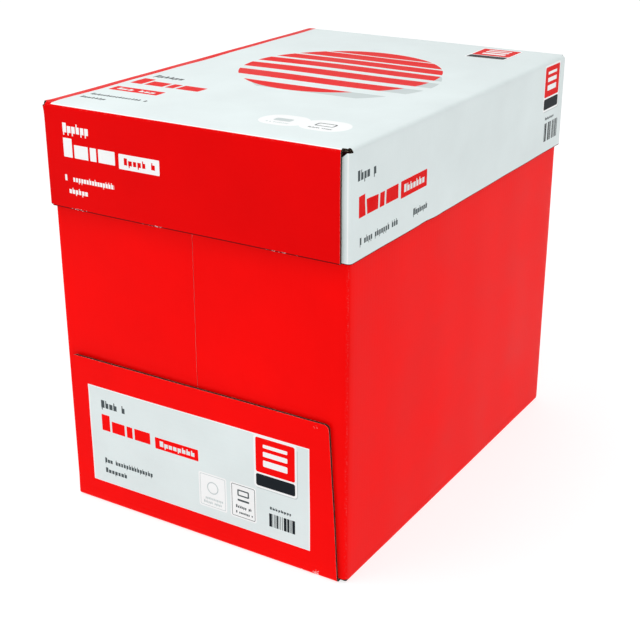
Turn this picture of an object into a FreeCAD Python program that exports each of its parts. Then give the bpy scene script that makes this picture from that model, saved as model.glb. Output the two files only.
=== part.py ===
"""Carton of copier paper: a folded tray of corrugated board, a telescoping lid that lifts off it,
and wrapped reams stacked flat inside. Millimetres, +Z up, origin under the middle of the carton,
+Y along the long side of the sheets, and the end that the photograph shows at -Y."""

import FreeCAD, Part
import os

import Sketcher

DOCUMENT_NAME = "paper_carton"
SHEET_NAME = "sizes"
PARTS_FOLDER = "parts"
TINY = 1e-6

# The driving dimensions, in millimetres. ream_count is a plain number.
SIZES = [
    # the paper: A4 sheets, 500 to a ream, in a paper wrapper folded in at both ends
    ("sheet_width", 210.0),
    ("sheet_length", 297.0),
    ("ream_height", 54.5),
    ("ream_count", 5),
    ("wrapper", 0.3),
    ("wrapper_corner", 2.0),
    ("wrap_flap_depth", 34.0),
    ("wrap_flap_inset", 4.0),
    # the board and how it folds
    ("board", 1.6),
    ("fold_inside", 0.8),
    ("glue_line", 0.4),
    # the tray
    ("side_clearance", 1.7),
    ("end_clearance", 2.5),
    ("headspace", 1.5),
    ("seam_gap", 0.5),
    ("tuck_clearance", 1.0),
    ("flap_height", 108.0),
    ("flap_margin_left", 0.6),
    ("flap_margin_right", 2.8),
    ("flap_taper_left", 3.4),
    ("flap_taper_right", 6.0),
    ("flap_corner", 3.0),
    # the lid
    ("lid_fit", 0.8),
    ("lid_skirt", 66.0),
    ("lid_tuck_length", 70.0),
    ("relief_width", 7.5),
    ("relief_drop", 6.5),
    ("skirt_margin_left", 4.5),
    ("skirt_margin_right", 5.5),
    # the hot-melt beads under the glued flaps
    ("bead_width", 6.0),
    ("bead_length", 38.0),
    ("bead_inset", 22.0),
    ("tray_bead_level", 34.0),
    ("tray_bead_pitch", 42.0),
    ("lid_bead_level", 33.0),
]


def s(name):
    """The expression that reads one driving dimension."""
    return f"{SHEET_NAME}.{name}"


# Sizes that follow from the driving ones, as expressions. X and Y are half sizes, measured from the
# middle planes, and Z is measured from the underside of the tray.
FOLD_OUTSIDE = f"({s('fold_inside')} + {s('board')})"
STACK_COUNT = f"round({s('ream_count')})"
REAM_X = f"({s('sheet_width')} / 2 + {s('wrapper')})"
REAM_Y = f"({s('sheet_length')} / 2 + {s('wrapper')})"
REAM_END_Y = f"({REAM_Y} + {s('wrapper')})"
TRAY_X = f"({REAM_X} + {s('side_clearance')} + {s('board')})"
TRAY_Y = f"({REAM_END_Y} + {s('end_clearance')} + {s('board')})"
TRAY_FLAP_Y = f"({TRAY_Y} + {s('glue_line')} + {s('board')})"
TRAY_TOP = f"({s('board')} + {STACK_COUNT} * {s('ream_height')} + {s('headspace')})"
TRAY_TUCK_BASE = f"({s('board')} + {s('tuck_clearance')})"
LID_X = f"({TRAY_X} + {s('lid_fit')} + {s('board')})"
LID_TUCK_Y = f"({TRAY_Y} + {s('lid_fit')} + {s('board')})"
LID_Y = f"({LID_TUCK_Y} + {s('glue_line')} + {s('board')})"
LID_TOP = f"({TRAY_TOP} + {s('board')})"
LID_BASE = f"({LID_TOP} - {s('lid_skirt')})"


def make_sheet(doc):
    """Writes the driving dimensions, one to a row, each under its own alias."""
    sheet = doc.addObject("Spreadsheet::Sheet", SHEET_NAME)
    for row, (name, value) in enumerate(SIZES, start=1):
        sheet.set(f"A{row}", name)
        sheet.set(f"B{row}", str(value))
        sheet.setAlias(f"B{row}", name)
    doc.recompute()
    return sheet


def number(obj, expression):
    """What an expression comes to now, as a float."""
    value = obj.evalExpression(expression)
    return float(getattr(value, "Value", value))


def origin_plane(body, role):
    """One of the body's own origin planes, such as XY_Plane."""
    return next(f for f in body.Origin.OriginFeatures if f.Role == role)


def new_body(doc, label):
    body = doc.addObject("PartDesign::Body", label)
    body.Label = label
    return body


def new_sketch(body, name, role, offset=None):
    """A sketch on an origin plane, moved along the plane's normal by the expression offset."""
    sketch = body.newObject("Sketcher::SketchObject", name)
    sketch.AttachmentSupport = [(origin_plane(body, role), "")]
    sketch.MapMode = "FlatFace"
    if offset:
        sketch.setExpression("AttachmentOffset.Base.z", offset)
    body.Document.recompute()
    return sketch


def hold_vertex(sketch, curve, end, x, y):
    """Ties one end of a curve to the expressions x and y, or to an axis where they come to zero."""
    for kind, axis, expression in (("DistanceX", -2, x), ("DistanceY", -1, y)):
        value = number(sketch, expression)
        if abs(value) < TINY:
            sketch.addConstraint(Sketcher.Constraint("PointOnObject", curve, end, axis))
            continue
        index = sketch.addConstraint(Sketcher.Constraint(kind, -1, 1, curve, end, value))
        sketch.setExpression(f"Constraints[{index}]", expression)


def quarter_arc(start, end, radius, turn_left):
    """The quarter circle from start to end, which turns to the left or to the right."""
    chord = end - start
    side = FreeCAD.Vector(-chord.y, chord.x, 0) * (1 if turn_left else -1)
    centre = (start + end + side) * 0.5
    towards = (start + end) * 0.5 - centre
    middle = centre + towards.normalize() * radius
    return Part.Arc(start, middle, end)


def draw_outline(sketch, corners):
    """Draws a closed outline. A corner is (x, y), or (x, y, radius, turn) where a quarter circle of that
    radius leads from it to the next corner, and turn is left or right. All but turn are expressions."""
    count = len(corners)
    first = sketch.GeometryCount
    points = [FreeCAD.Vector(number(sketch, c[0]), number(sketch, c[1]), 0) for c in corners]
    ends = []
    for i, corner in enumerate(corners):
        start, end = points[i], points[(i + 1) % count]
        if len(corner) == 2:
            sketch.addGeometry(Part.LineSegment(start, end), False)
            ends.append((1, 2))
            continue
        turn_left = corner[3] == "left"
        sketch.addGeometry(quarter_arc(start, end, number(sketch, corner[2]), turn_left), False)
        ends.append((1, 2) if turn_left else (2, 1))
    for i, corner in enumerate(corners):
        following = (i + 1) % count
        sketch.addConstraint(
            Sketcher.Constraint("Coincident", first + i, ends[i][1], first + following, ends[following][0])
        )
        hold_vertex(sketch, first + i, ends[i][0], corner[0], corner[1])
        if len(corner) > 2:
            value = number(sketch, corner[2])
            index = sketch.addConstraint(Sketcher.Constraint("Radius", first + i, value))
            sketch.setExpression(f"Constraints[{index}]", corner[2])
    sketch.Document.recompute()


def pad(body, sketch, name, length, symmetric=False):
    """Pads a sketch by the expression length, along the normal of its plane or to both sides of it."""
    feature = body.newObject("PartDesign::Pad", name)
    feature.Profile = sketch
    feature.Midplane = symmetric
    feature.setExpression("Length", length)
    feature.Refine = True
    body.Tip = feature
    body.Document.recompute()
    return feature


def mirror(body, originals, name, *roles):
    """Repeats features on the other side of one or more origin planes."""
    planes = [(origin_plane(body, role), [""]) for role in roles]
    if len(planes) == 1:
        feature = body.newObject("PartDesign::Mirrored", name)
        feature.Originals = originals
        feature.MirrorPlane = planes[0]
    else:
        feature = body.newObject("PartDesign::MultiTransform", name)
        feature.Originals = originals
        steps = []
        for role, plane in zip(roles, planes):
            step = body.newObject("PartDesign::Mirrored", f"{name}_{role[:2].lower()}")
            step.MirrorPlane = plane
            steps.append(step)
        feature.Transformations = steps
    feature.Refine = True
    body.Tip = feature
    body.Document.recompute()
    return feature


def make_corner_bend(body, half_x, half_y, base, height):
    """The fold at the carton's front right corner, from a long wall to its tuck flap."""
    plan = new_sketch(body, f"{body.Label}_bend_plan", "XY_Plane", base)
    draw_outline(
        plan,
        [
            (half_x, f"-({half_y} - {FOLD_OUTSIDE})"),
            (f"{half_x} - {s('board')}", f"-({half_y} - {FOLD_OUTSIDE})", s("fold_inside"), "right"),
            (f"{half_x} - {FOLD_OUTSIDE}", f"-({half_y} - {s('board')})"),
            (f"{half_x} - {FOLD_OUTSIDE}", f"-{half_y}", FOLD_OUTSIDE, "left"),
        ],
    )
    return pad(body, plan, f"{body.Label}_bend", height)


def make_tuck_leaf(body, half_y, corners):
    """The flat leaf of a tuck flap, from its outline seen from the front."""
    face = new_sketch(body, f"{body.Label}_tuck_face", "XZ_Plane", f"{half_y} - {s('board')}")
    draw_outline(face, corners)
    return pad(body, face, f"{body.Label}_tuck_leaf", s("board"))


def make_flap_fold(body, left, right, corners):
    """The fold that carries an outer flap: its side view, run across the end from left to right."""
    side = new_sketch(body, f"{body.Label}_fold_side", "YZ_Plane", f"-{left}")
    draw_outline(side, corners)
    return pad(body, side, f"{body.Label}_flap_fold", f"{left} + {right}")


def make_flap_leaf(body, outer_y, corners):
    """The flat leaf of an outer flap, from its outline seen from the front."""
    face = new_sketch(body, f"{body.Label}_flap_face", "XZ_Plane", f"{outer_y} - {s('board')}")
    draw_outline(face, corners)
    return pad(body, face, f"{body.Label}_flap_leaf", s("board"))


def edges_across(shape, level):
    """The names of the short edges along Y at a height."""
    names = []
    for index, edge in enumerate(shape.Edges, start=1):
        box = edge.BoundBox
        if box.XLength < 0.01 and box.ZLength < 0.01 and abs(box.ZMin - level) < 0.01:
            names.append(f"Edge{index}")
    return names


def make_tray(doc):
    """The tray, folded from one blank: the floor, two long walls, tuck flaps that turn the corners and
    meet in the middle of each end, and an outer flap at each end that is glued over them."""
    body = new_body(doc, "tray")

    # half of the channel that the floor and the two long walls make
    section = new_sketch(body, "tray_section", "XZ_Plane")
    draw_outline(
        section,
        [
            ("0", "0"),
            (f"{TRAY_X} - {FOLD_OUTSIDE}", "0", FOLD_OUTSIDE, "left"),
            (TRAY_X, FOLD_OUTSIDE),
            (TRAY_X, TRAY_TOP),
            (f"{TRAY_X} - {s('board')}", TRAY_TOP),
            (f"{TRAY_X} - {s('board')}", FOLD_OUTSIDE, s("fold_inside"), "right"),
            (f"{TRAY_X} - {FOLD_OUTSIDE}", s("board")),
            ("0", s("board")),
        ],
    )
    channel = pad(body, section, "floor_and_wall", f"2 * ({TRAY_Y} - {FOLD_OUTSIDE})", symmetric=True)
    mirror(body, [channel], "other_wall", "YZ_Plane")

    # the tuck flaps stand just clear of the floor and stop at the seam in the middle
    bend = make_corner_bend(body, TRAY_X, TRAY_Y, TRAY_TUCK_BASE, f"{TRAY_TOP} - {TRAY_TUCK_BASE}")
    leaf = make_tuck_leaf(
        body,
        TRAY_Y,
        [
            (f"{s('seam_gap')} / 2", TRAY_TUCK_BASE),
            (f"{TRAY_X} - {FOLD_OUTSIDE}", TRAY_TUCK_BASE),
            (f"{TRAY_X} - {FOLD_OUTSIDE}", TRAY_TOP),
            (f"{s('seam_gap')} / 2", TRAY_TOP),
        ],
    )
    mirror(body, [bend, leaf], "other_tucks", "YZ_Plane", "XZ_Plane")

    # the outer flap folds up from the floor and is narrower at its top
    left = f"({TRAY_X} - {FOLD_OUTSIDE} - {s('flap_margin_left')})"
    right = f"({TRAY_X} - {FOLD_OUTSIDE} - {s('flap_margin_right')})"
    floor_end = f"-({TRAY_Y} - {FOLD_OUTSIDE})"
    fold = make_flap_fold(
        body,
        left,
        right,
        [
            (floor_end, "0"),
            (floor_end, s("board")),
            (f"-({TRAY_FLAP_Y} - {FOLD_OUTSIDE})", s("board"), s("fold_inside"), "right"),
            (f"-({TRAY_FLAP_Y} - {s('board')})", FOLD_OUTSIDE),
            (f"-{TRAY_FLAP_Y}", FOLD_OUTSIDE, FOLD_OUTSIDE, "left"),
            (f"-({TRAY_FLAP_Y} - {FOLD_OUTSIDE})", "0"),
        ],
    )
    flap = make_flap_leaf(
        body,
        TRAY_FLAP_Y,
        [
            (f"-{left}", FOLD_OUTSIDE),
            (right, FOLD_OUTSIDE),
            (f"{right} - {s('flap_taper_right')}", s("flap_height")),
            (f"-({left} - {s('flap_taper_left')})", s("flap_height")),
        ],
    )
    both_flaps = mirror(body, [fold, flap], "other_flap", "XZ_Plane")

    corners = body.newObject("PartDesign::Fillet", "flap_corners")
    corners.Base = (both_flaps, edges_across(both_flaps.Shape, number(flap, s("flap_height"))))
    corners.setExpression("Radius", s("flap_corner"))
    body.Tip = corners
    doc.recompute()
    return body


def make_lid(doc):
    """The lid, folded from one blank: the top, two long skirts, short tuck flaps with a slanted relief
    below the top, and an end skirt at each end that is glued over them."""
    body = new_body(doc, "lid")

    section = new_sketch(body, "lid_section", "XZ_Plane")
    draw_outline(
        section,
        [
            ("0", LID_TOP),
            ("0", f"{LID_TOP} - {s('board')}"),
            (f"{LID_X} - {FOLD_OUTSIDE}", f"{LID_TOP} - {s('board')}", s("fold_inside"), "right"),
            (f"{LID_X} - {s('board')}", f"{LID_TOP} - {FOLD_OUTSIDE}"),
            (f"{LID_X} - {s('board')}", LID_BASE),
            (LID_X, LID_BASE),
            (LID_X, f"{LID_TOP} - {FOLD_OUTSIDE}", FOLD_OUTSIDE, "left"),
            (f"{LID_X} - {FOLD_OUTSIDE}", LID_TOP),
        ],
    )
    channel = pad(body, section, "top_and_skirt", f"2 * ({LID_TUCK_Y} - {FOLD_OUTSIDE})", symmetric=True)
    mirror(body, [channel], "other_skirt", "YZ_Plane")

    # the relief starts at the corner and leaves an open triangle beside the end skirt
    bend_height = f"{LID_TOP} - {FOLD_OUTSIDE} - {LID_BASE}"
    bend = make_corner_bend(body, LID_X, LID_TUCK_Y, LID_BASE, bend_height)
    leaf = make_tuck_leaf(
        body,
        LID_TUCK_Y,
        [
            (f"{LID_X} - {s('lid_tuck_length')}", LID_BASE),
            (f"{LID_X} - {FOLD_OUTSIDE}", LID_BASE),
            (f"{LID_X} - {FOLD_OUTSIDE}", f"{LID_TOP} - {FOLD_OUTSIDE}"),
            (f"{LID_X} - {s('relief_width')}", f"{LID_TOP} - {s('relief_drop')}"),
            (f"{LID_X} - {s('lid_tuck_length')}", f"{LID_TOP} - {s('relief_drop')}"),
        ],
    )
    mirror(body, [bend, leaf], "other_tucks", "YZ_Plane", "XZ_Plane")

    # the strip of the top beyond the long skirts, which roofs the open triangle
    strip_plan = new_sketch(body, "top_strip_plan", "XY_Plane", f"{LID_TOP} - {s('board')}")
    strip_x = f"({LID_X} - {FOLD_OUTSIDE})"
    draw_outline(
        strip_plan,
        [
            (f"-{strip_x}", f"-({LID_Y} - {FOLD_OUTSIDE})"),
            (strip_x, f"-({LID_Y} - {FOLD_OUTSIDE})"),
            (strip_x, f"-({LID_TUCK_Y} - {FOLD_OUTSIDE})"),
            (f"-{strip_x}", f"-({LID_TUCK_Y} - {FOLD_OUTSIDE})"),
        ],
    )
    strip = pad(body, strip_plan, "top_strip", s("board"))

    left = f"({LID_X} - {s('skirt_margin_left')})"
    right = f"({LID_X} - {s('skirt_margin_right')})"
    fold = make_flap_fold(
        body,
        left,
        right,
        [
            (f"-({LID_Y} - {FOLD_OUTSIDE})", f"{LID_TOP} - {s('board')}"),
            (f"-({LID_Y} - {FOLD_OUTSIDE})", LID_TOP, FOLD_OUTSIDE, "left"),
            (f"-{LID_Y}", f"{LID_TOP} - {FOLD_OUTSIDE}"),
            (f"-({LID_Y} - {s('board')})", f"{LID_TOP} - {FOLD_OUTSIDE}", s("fold_inside"), "right"),
        ],
    )
    skirt = make_flap_leaf(
        body,
        LID_Y,
        [
            (f"-{left}", LID_BASE),
            (right, LID_BASE),
            (right, f"{LID_TOP} - {FOLD_OUTSIDE}"),
            (f"-{left}", f"{LID_TOP} - {FOLD_OUTSIDE}"),
        ],
    )
    mirror(body, [strip, fold, skirt], "other_end_skirt", "XZ_Plane")
    return body


def make_ream(doc, index):
    """One sealed pack of sheets in its wrapper: square ends with the outer wrap flap folded over them,
    and softly rounded long edges. index counts the packs from the floor up, from 0."""
    body = new_body(doc, f"ream_{index + 1}")
    section = new_sketch(body, f"pack_section_{index + 1}", "XZ_Plane")
    round_x = f"{REAM_X} - {s('wrapper_corner')}"
    round_z = f"{s('ream_height')} - {s('wrapper_corner')}"
    corner = s("wrapper_corner")
    draw_outline(
        section,
        [
            (round_x, "0", corner, "left"),
            (REAM_X, corner),
            (REAM_X, round_z, corner, "left"),
            (round_x, s("ream_height")),
            (f"-({round_x})", s("ream_height"), corner, "left"),
            (f"-{REAM_X}", round_z),
            (f"-{REAM_X}", corner, corner, "left"),
            (f"-({round_x})", "0"),
        ],
    )
    pad(body, section, f"pack_{index + 1}", f"2 * {REAM_Y}", symmetric=True)

    # the side flaps of the wrapper fold in first, so the outer flap is cut back at 45 degrees
    face = new_sketch(body, f"wrap_flap_face_{index + 1}", "XZ_Plane", REAM_Y)
    flap_top = f"({REAM_X} - {s('wrap_flap_inset')})"
    flap_foot = f"({flap_top} - {s('wrap_flap_depth')})"
    draw_outline(
        face,
        [
            (f"-{flap_top}", round_z),
            (f"-{flap_foot}", f"{round_z} - {s('wrap_flap_depth')}"),
            (flap_foot, f"{round_z} - {s('wrap_flap_depth')}"),
            (flap_top, round_z),
        ],
    )
    flap = pad(body, face, f"wrap_flap_{index + 1}", s("wrapper"))
    mirror(body, [flap], f"other_wrap_flap_{index + 1}", "XZ_Plane")
    body.setExpression("Placement.Base.z", f"{s('board')} + {index} * {s('ream_height')}")
    doc.recompute()
    return body


def draw_bead(sketch, middle_x, middle_z):
    """A bead of glue seen from the front: a bar with round ends."""
    half_run = f"({s('bead_length')} - {s('bead_width')}) / 2"
    half = f"{s('bead_width')} / 2"
    draw_outline(
        sketch,
        [
            (f"{middle_x} - {half_run}", f"{middle_z} - {half}"),
            (f"{middle_x} + {half_run}", f"{middle_z} - {half}", half, "left"),
            (f"{middle_x} + {half_run} + {half}", middle_z, half, "left"),
            (f"{middle_x} + {half_run}", f"{middle_z} + {half}"),
            (f"{middle_x} - {half_run}", f"{middle_z} + {half}", half, "left"),
            (f"{middle_x} - {half_run} - {half}", middle_z, half, "left"),
        ],
    )


def make_glue(doc, label, sketch_offset, middle_x, levels):
    """The beads under the outer flap of one end, on both of its tuck flaps."""
    body = new_body(doc, label)
    body.AllowCompound = True
    face = new_sketch(body, f"{label}_face", "XZ_Plane", sketch_offset)
    for side in ("", "-"):
        for level in levels:
            draw_bead(face, f"{side}({middle_x})", level)
    pad(body, face, f"{label}_beads", s("glue_line"))
    return body


def make_all_glue(doc):
    """The glue between the tuck flaps and the outer flaps, front and back, of the tray and the lid."""
    tray_x = f"{s('bead_inset')} + {s('bead_length')} / 2"
    tray_levels = [s("tray_bead_level"), f"{s('tray_bead_level')} + {s('tray_bead_pitch')}"]
    lid_x = f"{LID_X} - {s('lid_tuck_length')} / 2"
    lid_levels = [f"{LID_BASE} + {s('lid_bead_level')}"]
    return [
        make_glue(doc, "tray_front_glue", TRAY_Y, tray_x, tray_levels),
        make_glue(doc, "tray_back_glue", f"-({TRAY_Y} + {s('glue_line')})", tray_x, tray_levels),
        make_glue(doc, "lid_front_glue", LID_TUCK_Y, lid_x, lid_levels),
        make_glue(doc, "lid_back_glue", f"-({LID_TUCK_Y} + {s('glue_line')})", lid_x, lid_levels),
    ]


def check(doc, bodies):
    """Stops with a message if any object failed or any sub-part has no valid solid."""
    for obj in doc.Objects:
        if "Invalid" in obj.State or "Error" in obj.State:
            raise RuntimeError(f"{obj.Name} did not compute: {obj.State}")
    for body in bodies:
        if body.Shape.isNull() or not body.Shape.isValid() or not body.Shape.Solids:
            raise RuntimeError(f"{body.Label} has no valid solid")


def write_step(bodies):
    """Writes each sub-part to its own file, named after its label."""
    os.makedirs(PARTS_FOLDER, exist_ok=True)
    for body in bodies:
        body.Shape.exportStep(os.path.join(PARTS_FOLDER, f"{body.Label}.step"))
        box = body.Shape.BoundBox
        print(
            f"{body.Label}: {len(body.Shape.Solids)} solid, {body.Shape.Volume:.0f} mm3,",
            f"x {box.XMin:.1f} to {box.XMax:.1f}, y {box.YMin:.1f} to {box.YMax:.1f},",
            f"z {box.ZMin:.1f} to {box.ZMax:.1f}",
        )


def main():
    doc = FreeCAD.newDocument(DOCUMENT_NAME)
    sheet = make_sheet(doc)
    bodies = [make_tray(doc), make_lid(doc)]
    bodies += [make_ream(doc, index) for index in range(round(sheet.ream_count))]
    bodies += make_all_glue(doc)
    doc.recompute()
    check(doc, bodies)
    write_step(bodies)


main()
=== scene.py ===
"""The looks of a carton of copier paper: a printed tray of corrugated board, its lift-off lid, and the
wrapped reams inside. Everything is in metres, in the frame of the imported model."""

import math
from functools import partial

import bpy
import numpy as np
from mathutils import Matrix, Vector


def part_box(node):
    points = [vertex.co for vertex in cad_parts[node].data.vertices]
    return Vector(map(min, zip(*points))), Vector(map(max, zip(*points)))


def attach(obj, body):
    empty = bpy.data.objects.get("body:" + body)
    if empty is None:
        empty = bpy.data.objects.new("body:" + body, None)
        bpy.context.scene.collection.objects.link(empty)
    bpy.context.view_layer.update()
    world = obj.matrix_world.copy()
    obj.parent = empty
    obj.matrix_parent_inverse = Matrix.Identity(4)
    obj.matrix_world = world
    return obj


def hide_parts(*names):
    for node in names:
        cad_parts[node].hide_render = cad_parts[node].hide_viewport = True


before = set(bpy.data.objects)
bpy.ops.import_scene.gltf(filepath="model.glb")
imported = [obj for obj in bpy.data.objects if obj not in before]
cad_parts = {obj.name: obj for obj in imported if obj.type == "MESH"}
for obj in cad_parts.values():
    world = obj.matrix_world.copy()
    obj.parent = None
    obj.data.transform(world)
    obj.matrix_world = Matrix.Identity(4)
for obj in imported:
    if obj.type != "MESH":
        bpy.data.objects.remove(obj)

bl_info = {
    "name": "Paper carton",
    "version": (1, 0, 0),
    "blender": (4, 5, 0),
    "location": "3D View > Sidebar > Carton",
    "description": "Builds a printed carton of copier paper around its packed model",
    "category": "Object",
}

MM = 0.001
QUARTER = math.pi / 2
SLACK = 1e-7  # for comparing lengths
SHARP = math.radians(40)  # the least angle of an edge that isn't smoothed over
TRAY_LOW, TRAY_HIGH = (np.array(corner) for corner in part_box("tray"))
LID_LOW, LID_HIGH = (np.array(corner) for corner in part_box("lid"))
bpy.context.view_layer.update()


def hex_to_linear(code):
    """A colour as linear red, green, blue and alpha from its sRGB hex code."""
    values = [int(code[i : i + 2], 16) / 255 for i in (1, 3, 5)]
    linear = [v / 12.92 if v <= 0.04045 else ((v + 0.055) / 1.055) ** 2.4 for v in values]
    return (*linear, 1.0)


def number_property(name, description, default, **kind):
    """A number, with its unit or subtype where it has one."""
    return bpy.props.FloatProperty(name=name, description=description, default=default, **kind)


def length_property(name, description, millimetres):
    """A length that is given in millimetres."""
    return number_property(name, description, millimetres * MM, unit="LENGTH", precision=5)


def colour_property(name, description, code):
    """A colour that is given as an sRGB hex code."""
    return bpy.props.FloatVectorProperty(
        name=name, description=description, default=hex_to_linear(code), subtype="COLOR", size=4,
        min=0, max=1,
    )


class CartonSizes(bpy.types.PropertyGroup):
    """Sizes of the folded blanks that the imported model's boxes don't give."""

    board: length_property("Board", "Thickness of the fluted board", float(LID_HIGH[2] - TRAY_HIGH[2]) / MM)
    fold_inside: length_property("Fold inside", "Inner radius of a fold", 0.8)
    glue_line: length_property("Glue line", "Gap between a tuck flap and the flap glued over it", 0.4)
    seam_gap: length_property("Seam gap", "Gap between the two tuck flaps of a tray end", 0.2)
    tuck_clearance: length_property("Tuck clearance", "Gap between the tray's floor and its tuck flaps", 1.0)
    flap_height: length_property("Flap height", "Height of the tray's outer flaps", 108.0)
    flap_left: length_property("Flap left", "Margin of the outer flap at its fold, on the left", 0.6)
    flap_right: length_property("Flap right", "Margin of the outer flap at its fold, on the right", 2.8)
    taper_left: length_property("Taper left", "How far the outer flap narrows upwards on the left", 3.4)
    taper_right: length_property("Taper right", "How far the outer flap narrows upwards on the right", 6.0)
    flap_corner: length_property("Flap corner", "Radius of the outer flap's upper corners", 3.0)
    flap_lift: length_property("Flap lift", "How far the outer flap's free edge stands off", 0.9)
    tuck_length: length_property("Lid tuck length", "Length of the lid's tuck flaps from the corner", 70.0)
    relief_width: length_property("Relief width", "Width of the slanted relief of the lid's tuck flaps", 7.5)
    relief_drop: length_property("Relief drop", "Depth of the slanted relief below the lid's top", 6.5)
    skirt_left: length_property("Skirt left", "Margin of the lid's end skirt on the left", 4.5)
    skirt_right: length_property("Skirt right", "Margin of the lid's end skirt on the right", 5.5)
    bulge: length_property("Bulge", "How far the tray's walls bow out over the reams", 0.9)
    wave: length_property("Wave", "Height of the slow waves in the panels", 0.4)
    red_strip: length_property("Red strip", "Width of the red along the left of the lid's top", 8.6)
    dent: length_property("Dent", "Depth of the knocks in the lid's right skirt", 0.7)
    paper_wrap: length_property("Wrapper", "Thickness of a ream's wrapper where it is folded over", 0.3)
    wrap_corner: length_property("Wrapper corner", "Radius of a wrapped ream's edges", 2.0)
    wrap_inset: length_property("Wrapper inset", "Margin of the ends' folded-over flaps", 4.0)
    wrap_depth: length_property("Wrapper depth", "Length of the ends' folded-over flaps", 34.0)
    flute_pitch: length_property("Flute pitch", "Distance from one flute of the board to the next", 3.2)
    mesh_pitch: length_property("Mesh pitch", "Spacing of the mesh lines on flat panels", 4.0)


class CartonColours(bpy.types.PropertyGroup):
    """Inks and papers of the carton."""

    red: colour_property("Red ink", "The tray's red", "#F80502")
    lid_red: colour_property("Lid's red ink", "The lid's red, a little deeper", "#E40100")
    sheen: colour_property("Sheen", "Tint of the varnished ink's reflections", "#E6DCFF")
    paper: colour_property("Printed paper", "The cool pale grey printed on the lid and the label", "#DFE9E9")
    white: colour_property("White", "Bare white of the outer paper", "#F4F6F6")
    grey: colour_property("Grey ink", "Small type", "#4C5557")
    black: colour_property("Black ink", "Bars and tags", "#1C2226")
    shade: colour_property("Shade ink", "Soft grey shapes on the lid's top", "#C5CFCF")
    liner: colour_property("Inner paper", "Recycled paper on the inside of the board", "#B9A284")
    # Painted shade: the core is nearly black because the hollows between the flutes, which the flat cut edge
    # leaves out, lie in shadow
    core: colour_property("Core", "The dark inside of the board at its cut edges", "#14100E")
    # Painted shadow: the rim colour is a thin dark band along the lid's lower edges, standing in for the
    # shade in the gap over the tray
    rim: colour_property("Rim", "Ink and core crushed together at the lid's lower rim", "#6A0B0A")
    wrapper: colour_property("Wrapper", "Paper that the reams are wrapped in", "#EEF1F3")
    glue: colour_property("Glue", "Set hot-melt glue", "#D9C389")


class CartonStage(bpy.types.PropertyGroup):
    """The camera, the light and the pale floor."""

    azimuth: number_property(
        "Azimuth", "Turn of the camera about the carton", math.radians(31.5), subtype="ANGLE"
    )
    elevation: number_property(
        "Elevation", "Height of the camera as an angle", math.radians(22.4), subtype="ANGLE"
    )
    distance: number_property("Distance", "From the aim point to the camera", 0.92, unit="LENGTH")
    aim: bpy.props.FloatVectorProperty(
        name="Aim", description="The point that the camera looks at", default=(-0.004, 0.0, 0.102),
        subtype="TRANSLATION",
    )
    lens: number_property("Lens", "Focal length of the camera", 71.1, unit="CAMERA")
    sky: number_property("Sky", "Strength of the even light from above", 0.87)
    sides: number_property("Sides", "Strength of the light between the white horizon and the sky", 0.45)
    key: number_property("Key", "Power of the soft light above, in front and to the left", 3.5, unit="POWER")
    key_size: number_property("Key size", "Diameter of the key light", 0.5, unit="LENGTH")
    key_place: bpy.props.FloatVectorProperty(
        name="Key place", description="Where the key light hangs", default=(-0.2, -0.35, 1.1),
        subtype="TRANSLATION",
    )
    floor_reach: number_property("Floor reach", "Half the width of the floor", 60.0, unit="LENGTH")


def feed(node, values):
    """Sets a node's inputs by number or name. A value that is a node or an output is linked, and None
    leaves an input alone."""
    for key, value in values.items():
        if isinstance(value, bpy.types.Node):
            value = value.outputs[0]
        if isinstance(value, bpy.types.NodeSocket):
            node.id_data.links.new(value, node.inputs[key])
        elif value is not None:
            node.inputs[key].default_value = value


def add_node(tree, kind, *values, inputs=(), **settings):
    """Adds a node of a kind, such as "Math ADD" with its operation, sets its attributes from settings and
    its inputs from values in order and from inputs by name."""
    kind, _, operation = kind.partition(" ")
    node = tree.nodes.new("ShaderNode" + kind)
    for name, value in {**settings, **({"operation": operation} if operation else {})}.items():
        setattr(node, name, value)
    feed(node, {**dict(enumerate(values)), **dict(inputs)})
    return node


def sizes():
    """The carton's sizes, as set in the scene."""
    return bpy.context.scene.carton_sizes


def colours():
    """The carton's colours, as set in the scene."""
    return bpy.context.scene.carton_colours


# Shapes of the folded blanks


def bent_path(run, start, heading, folds, radius):
    """Points and tangents at the lengths run along a flat path of straight stretches and quarter-circle
    folds. Each fold is (length where it starts, turn), with turn 1 to the left and -1 to the right. On a
    fold the tangent's angle grows by length over radius, and the point lies one radius from the fold's
    centre, at a right angle to the tangent. Elsewhere the point moves straight along the tangent."""

    def along(angle):
        return np.stack([np.cos(angle), np.sin(angle)], -1)

    def leftwards(angle):
        return np.stack([-np.sin(angle), np.cos(angle)], -1)

    here, facing, done = np.array(start, float), heading, 0.0
    angle = np.full_like(run, heading)
    point = here + run[:, None] * along(angle)
    for fold_start, turn in folds:
        here = here + (fold_start - done) * along(facing)
        centre = here + radius * turn * leftwards(facing)
        swing = facing + turn * np.clip((run - fold_start) / radius, 0, QUARTER)
        beyond = np.maximum(run - fold_start - radius * QUARTER, 0)
        bent = centre - radius * turn * leftwards(swing) + beyond[:, None] * along(swing)
        past = run > fold_start
        point = np.where(past[:, None], bent, point)
        angle = np.where(past, swing, angle)
        facing += turn * QUARTER
        here = centre - radius * turn * leftwards(facing)
        done = fold_start + radius * QUARTER
    return point, along(angle)


def divide(stops, pitch, fine=()):
    """Lengths from the first stop to the last that hold every stop, spaced no wider than pitch between
    stops, or than the pitch given in fine for a stretch counted from 0."""
    spans = [np.array([stops[0]])]
    fine = dict(fine)
    for index, (low, high) in enumerate(zip(stops[:-1], stops[1:])):
        count = max(1, math.ceil((high - low) / fine.get(index, pitch) - 1e-6))
        spans.append(np.linspace(low, high, count + 1)[1:])
    return np.concatenate(spans)


def strip(point, normal, blank):
    """One grid of a blank: its outer points, its outward normals and its place on the flat blank."""
    return {"point": point, "normal": normal, "blank": blank}


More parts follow.
